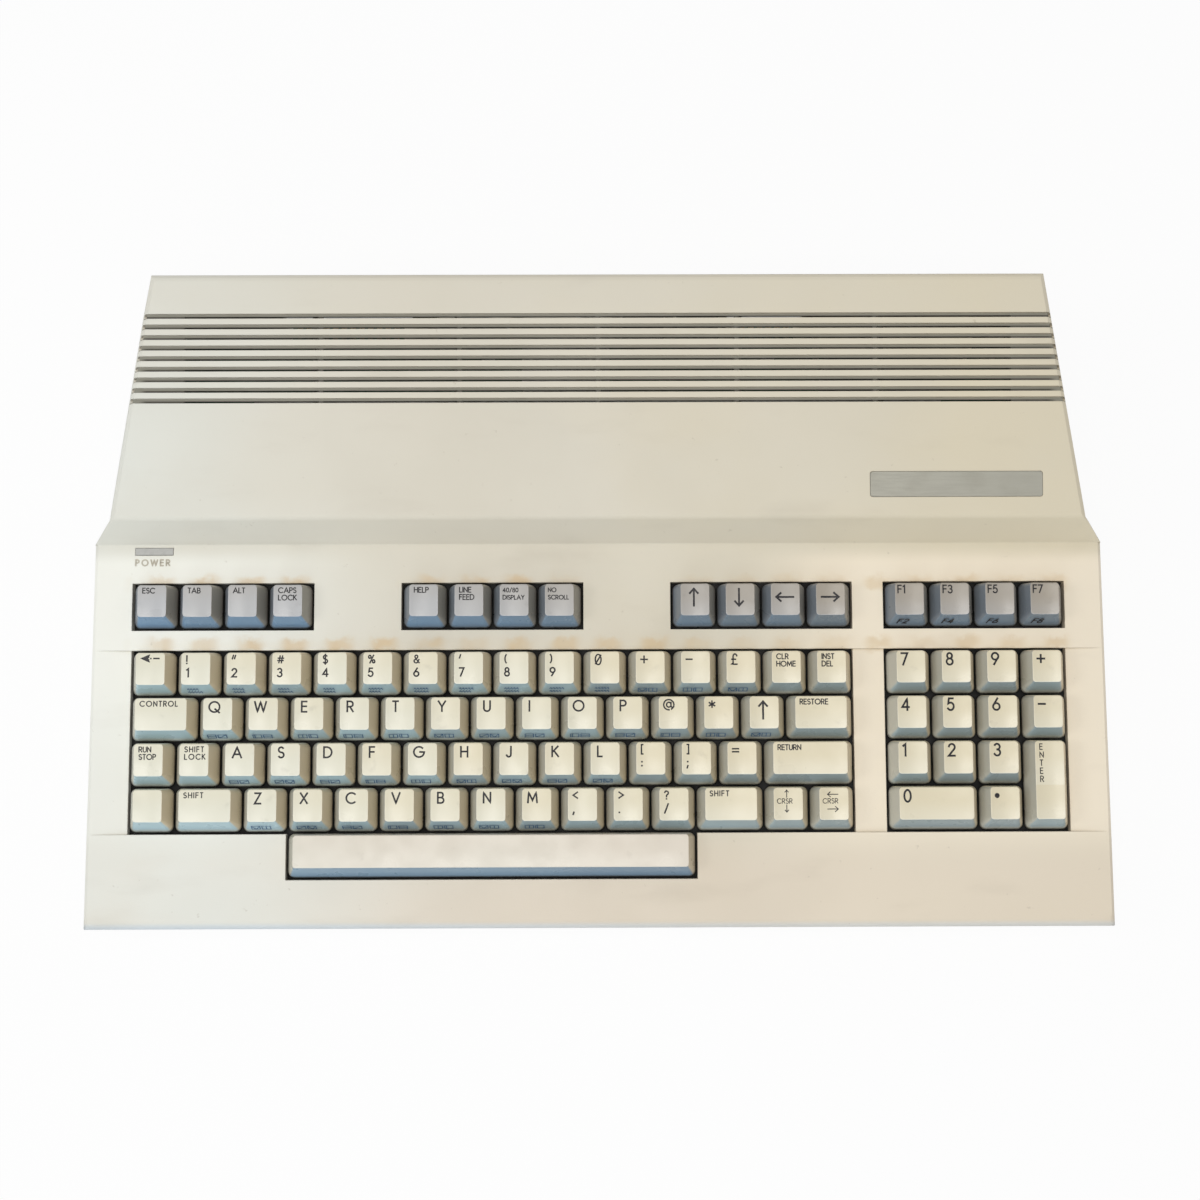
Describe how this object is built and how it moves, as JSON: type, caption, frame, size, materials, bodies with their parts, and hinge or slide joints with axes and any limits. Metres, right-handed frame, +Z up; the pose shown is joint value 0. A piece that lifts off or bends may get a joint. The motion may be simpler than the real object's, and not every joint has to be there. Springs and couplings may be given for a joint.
{
  "type": "vintage home computer",
  "caption": "Flat home computer built into a wedge keyboard case with a raised, vented rear deck, a numeric pad, sprung keys, rear sockets and a side bay for game plugs.",
  "frame": {"origin": "on the ground under the middle of the case", "axes": "+X to the right seen from the front, +Y to the rear, +Z up"},
  "size_m": [0.4318, 0.272, 0.0636],
  "materials": {
    "case_plastic": "moulded, fine grain, slightly yellowed",
    "trim_silver": "satin",
    "lens": "satin, silver-grey",
    "led_red": "gloss",
    "foot_rubber": "matt",
    "screw_steel": "zinc plated",
    "frame_plastic": "moulded",
    "circuit_board": "lacquered laminate",
    "chip_black": "moulded epoxy",
    "tinned_sheet": "tinned",
    "socket_black": "moulded",
    "socket_metal": "tinned",
    "cable_grey": "flat cable jacket",
    "switch_black": "satin",
    "spring_steel": "drawn wire",
    "key_cream": "fine grain",
    "key_lavender": "fine grain"
  },
  "bodies": {
    "case": {"bottom_case": "case_plastic", "top_case": "case_plastic", "badge_plate": "trim_silver", "power_lens": "lens", "power_led": "led_red", "rubber_feet": "foot_rubber", "case_screws": "screw_steel", "keyboard_frame": "frame_plastic", "keyboard_board": "circuit_board", "main_board": "circuit_board", "board_chips": "chip_black", "board_shield": "tinned_sheet", "expansion_port": "socket_black", "din_sockets": "socket_black", "rgb_socket": "socket_metal", "rf_modulator": "tinned_sheet", "joystick_sockets": "socket_black", "power_socket": "socket_black", "switch_housing": "socket_black", "keyboard_cable": "cable_grey", "space_bar_springs": "spring_steel"},
    "power_rocker": {"power_rocker": "switch_black"},
    "reset_button": {"reset_button": "switch_black"},
    "channel_switch": {"channel_switch": "switch_black"},
    "stabiliser_wire": {"stabiliser_wire": "spring_steel"},
    "space_bar": {"space_bar": "key_cream"},
    "keys_esc_tab_alt": {"keys_esc_tab_alt": "key_lavender"},
    "key_caps_lock": {"key_caps_lock": "key_lavender"},
    "keys_help_scroll": {"keys_help_scroll": "key_lavender"},
    "key_display": {"key_display": "key_lavender"},
    "keys_arrow": {"keys_arrow": "key_lavender"},
    "keys_function": {"keys_function": "key_lavender"},
    "keys_number_a": {"keys_number_a": "key_cream"},
    "keys_number_b": {"keys_number_b": "key_cream"},
    "keys_number_c": {"keys_number_c": "key_cream"},
    "keys_number_d": {"keys_number_d": "key_cream"},
    "key_control": {"key_control": "key_cream"},
    "keys_q_to_r": {"keys_q_to_r": "key_cream"},
    "keys_t_to_i": {"keys_t_to_i": "key_cream"},
    "keys_o_to_arrow": {"keys_o_to_arrow": "key_cream"},
    "key_restore": {"key_restore": "key_cream"},
    "key_run_stop": {"key_run_stop": "key_cream"},
    "key_shift_lock": {"key_shift_lock": "key_cream"},
    "keys_a_to_f": {"keys_a_to_f": "key_cream"},
    "keys_g_to_k": {"keys_g_to_k": "key_cream"},
    "keys_l_to_equals": {"keys_l_to_equals": "key_cream"},
    "key_return": {"key_return": "key_cream"},
    "key_blank": {"key_blank": "key_cream"},
    "key_left_shift": {"key_left_shift": "key_cream"},
    "keys_z_to_b": {"keys_z_to_b": "key_cream"},
    "keys_n_to_slash": {"keys_n_to_slash": "key_cream"},
    "key_right_shift": {"key_right_shift": "key_cream"},
    "keys_cursor": {"keys_cursor": "key_cream"},
    "pad_7_8_9": {"pad_7_8_9": "key_cream"},
    "pad_4_5_6": {"pad_4_5_6": "key_cream"},
    "pad_1_2_3": {"pad_1_2_3": "key_cream"},
    "pad_plus_minus": {"pad_plus_minus": "key_cream"},
    "pad_zero": {"pad_zero": "key_cream"},
    "pad_point": {"pad_point": "key_cream"},
    "pad_enter": {"pad_enter": "key_cream"}
  },
  "joints": [
    {"name": "power_rocker_tilt", "type": "hinge", "parent": "case", "child": "power_rocker", "pos_m": [0.194, 0.1014, 0.023], "axis": [0, 1, 0], "range_deg": [0, 20]},
    {"name": "reset_push", "type": "slide", "parent": "case", "child": "reset_button", "axis": [-1, 0, 0], "range_m": [0, 0.0015], "stiffness_N_per_m": 600, "springref_m": -0.001},
    {"name": "channel_slide", "type": "slide", "parent": "case", "child": "channel_switch", "axis": [1, 0, 0], "range_m": [0, 0.003]},
    {"name": "stabiliser_swing", "type": "hinge", "parent": "case", "child": "stabiliser_wire", "pos_m": [-0.04524, -0.1, 0.02194], "axis": [1, 0, 0], "range_deg": [0, 21.92]},
    {"name": "space_bar_press", "type": "slide", "parent": "case", "child": "space_bar", "axis": [0, 0.0872, -0.9962], "range_m": [0, 0.0038], "stiffness_N_per_m": 220, "springref_m": -0.003, "deforming": ["space_bar_springs"]},
    {"name": "keys_esc_tab_alt_press", "type": "slide", "parent": "case", "child": "keys_esc_tab_alt", "axis": [0, 0.0872, -0.9962], "range_m": [0, 0.0038], "stiffness_N_per_m": 150, "springref_m": -0.003},
    {"name": "key_caps_lock_press", "type": "slide", "parent": "case", "child": "key_caps_lock", "axis": [0, 0.0872, -0.9962], "range_m": [0, 0.0038]},
    {"name": "keys_help_scroll_press", "type": "slide", "parent": "case", "child": "keys_help_scroll", "axis": [0, 0.0872, -0.9962], "range_m": [0, 0.0038], "stiffness_N_per_m": 150, "springref_m": -0.003},
    {"name": "key_display_press", "type": "slide", "parent": "case", "child": "key_display", "axis": [0, 0.0872, -0.9962], "range_m": [0, 0.0038]},
    {"name": "keys_arrow_press", "type": "slide", "parent": "case", "child": "keys_arrow", "axis": [0, 0.0872, -0.9962], "range_m": [0, 0.0038], "stiffness_N_per_m": 150, "springref_m": -0.003},
    {"name": "keys_function_press", "type": "slide", "parent": "case", "child": "keys_function", "axis": [0, 0.0872, -0.9962], "range_m": [0, 0.0038], "stiffness_N_per_m": 150, "springref_m": -0.003},
    {"name": "keys_number_a_press", "type": "slide", "parent": "case", "child": "keys_number_a", "axis": [0, 0.0872, -0.9962], "range_m": [0, 0.0038], "stiffness_N_per_m": 150, "springref_m": -0.003},
    {"name": "keys_number_b_press", "type": "slide", "parent": "case", "child": "keys_number_b", "axis": [0, 0.0872, -0.9962], "range_m": [0, 0.0038], "stiffness_N_per_m": 150, "springref_m": -0.003},
    {"name": "keys_number_c_press", "type": "slide", "parent": "case", "child": "keys_number_c", "axis": [0, 0.0872, -0.9962], "range_m": [0, 0.0038], "stiffness_N_per_m": 150, "springref_m": -0.003},
    {"name": "keys_number_d_press", "type": "slide", "parent": "case", "child": "keys_number_d", "axis": [0, 0.0872, -0.9962], "range_m": [0, 0.0038], "stiffness_N_per_m": 150, "springref_m": -0.003},
    {"name": "key_control_press", "type": "slide", "parent": "case", "child": "key_control", "axis": [0, 0.0872, -0.9962], "range_m": [0, 0.0038], "stiffness_N_per_m": 150, "springref_m": -0.003},
    {"name": "keys_q_to_r_press", "type": "slide", "parent": "case", "child": "keys_q_to_r", "axis": [0, 0.0872, -0.9962], "range_m": [0, 0.0038], "stiffness_N_per_m": 150, "springref_m": -0.003},
    {"name": "keys_t_to_i_press", "type": "slide", "parent": "case", "child": "keys_t_to_i", "axis": [0, 0.0872, -0.9962], "range_m": [0, 0.0038], "stiffness_N_per_m": 150, "springref_m": -0.003},
    {"name": "keys_o_to_arrow_press", "type": "slide", "parent": "case", "child": "keys_o_to_arrow", "axis": [0, 0.0872, -0.9962], "range_m": [0, 0.0038], "stiffness_N_per_m": 150, "springref_m": -0.003},
    {"name": "key_restore_press", "type": "slide", "parent": "case", "child": "key_restore", "axis": [0, 0.0872, -0.9962], "range_m": [0, 0.0038], "stiffness_N_per_m": 150, "springref_m": -0.003},
    {"name": "key_run_stop_press", "type": "slide", "parent": "case", "child": "key_run_stop", "axis": [0, 0.0872, -0.9962], "range_m": [0, 0.0038], "stiffness_N_per_m": 150, "springref_m": -0.003},
    {"name": "key_shift_lock_press", "type": "slide", "parent": "case", "child": "key_shift_lock", "axis": [0, 0.0872, -0.9962], "range_m": [0, 0.0038]},
    {"name": "keys_a_to_f_press", "type": "slide", "parent": "case", "child": "keys_a_to_f", "axis": [0, 0.0872, -0.9962], "range_m": [0, 0.0038], "stiffness_N_per_m": 150, "springref_m": -0.003},
    {"name": "keys_g_to_k_press", "type": "slide", "parent": "case", "child": "keys_g_to_k", "axis": [0, 0.0872, -0.9962], "range_m": [0, 0.0038], "stiffness_N_per_m": 150, "springref_m": -0.003},
    {"name": "keys_l_to_equals_press", "type": "slide", "parent": "case", "child": "keys_l_to_equals", "axis": [0, 0.0872, -0.9962], "range_m": [0, 0.0038], "stiffness_N_per_m": 150, "springref_m": -0.003},
    {"name": "key_return_press", "type": "slide", "parent": "case", "child": "key_return", "axis": [0, 0.0872, -0.9962], "range_m": [0, 0.0038], "stiffness_N_per_m": 150, "springref_m": -0.003},
    {"name": "key_blank_press", "type": "slide", "parent": "case", "child": "key_blank", "axis": [0, 0.0872, -0.9962], "range_m": [0, 0.0038], "stiffness_N_per_m": 150, "springref_m": -0.003},
    {"name": "key_left_shift_press", "type": "slide", "parent": "case", "child": "key_left_shift", "axis": [0, 0.0872, -0.9962], "range_m": [0, 0.0038], "stiffness_N_per_m": 150, "springref_m": -0.003},
    {"name": "keys_z_to_b_press", "type": "slide", "parent": "case", "child": "keys_z_to_b", "axis": [0, 0.0872, -0.9962], "range_m": [0, 0.0038], "stiffness_N_per_m": 150, "springref_m": -0.003},
    {"name": "keys_n_to_slash_press", "type": "slide", "parent": "case", "child": "keys_n_to_slash", "axis": [0, 0.0872, -0.9962], "range_m": [0, 0.0038], "stiffness_N_per_m": 150, "springref_m": -0.003},
    {"name": "key_right_shift_press", "type": "slide", "parent": "case", "child": "key_right_shift", "axis": [0, 0.0872, -0.9962], "range_m": [0, 0.0038], "stiffness_N_per_m": 150, "springref_m": -0.003},
    {"name": "keys_cursor_press", "type": "slide", "parent": "case", "child": "keys_cursor", "axis": [0, 0.0872, -0.9962], "range_m": [0, 0.0038], "stiffness_N_per_m": 150, "springref_m": -0.003},
    {"name": "pad_7_8_9_press", "type": "slide", "parent": "case", "child": "pad_7_8_9", "axis": [0, 0.0872, -0.9962], "range_m": [0, 0.0038], "stiffness_N_per_m": 150, "springref_m": -0.003},
    {"name": "pad_4_5_6_press", "type": "slide", "parent": "case", "child": "pad_4_5_6", "axis": [0, 0.0872, -0.9962], "range_m": [0, 0.0038], "stiffness_N_per_m": 150, "springref_m": -0.003},
    {"name": "pad_1_2_3_press", "type": "slide", "parent": "case", "child": "pad_1_2_3", "axis": [0, 0.0872, -0.9962], "range_m": [0, 0.0038], "stiffness_N_per_m": 150, "springref_m": -0.003},
    {"name": "pad_plus_minus_press", "type": "slide", "parent": "case", "child": "pad_plus_minus", "axis": [0, 0.0872, -0.9962], "range_m": [0, 0.0038], "stiffness_N_per_m": 150, "springref_m": -0.003},
    {"name": "pad_zero_press", "type": "slide", "parent": "case", "child": "pad_zero", "axis": [0, 0.0872, -0.9962], "range_m": [0, 0.0038], "stiffness_N_per_m": 150, "springref_m": -0.003},
    {"name": "pad_point_press", "type": "slide", "parent": "case", "child": "pad_point", "axis": [0, 0.0872, -0.9962], "range_m": [0, 0.0038], "stiffness_N_per_m": 150, "springref_m": -0.003},
    {"name": "pad_enter_press", "type": "slide", "parent": "case", "child": "pad_enter", "axis": [0, 0.0872, -0.9962], "range_m": [0, 0.0038], "stiffness_N_per_m": 150, "springref_m": -0.003}
  ],
  "couplings": [
    {"joint": "stabiliser_swing", "follows": "space_bar_press", "rad_per_m": 100.61}
  ]
}
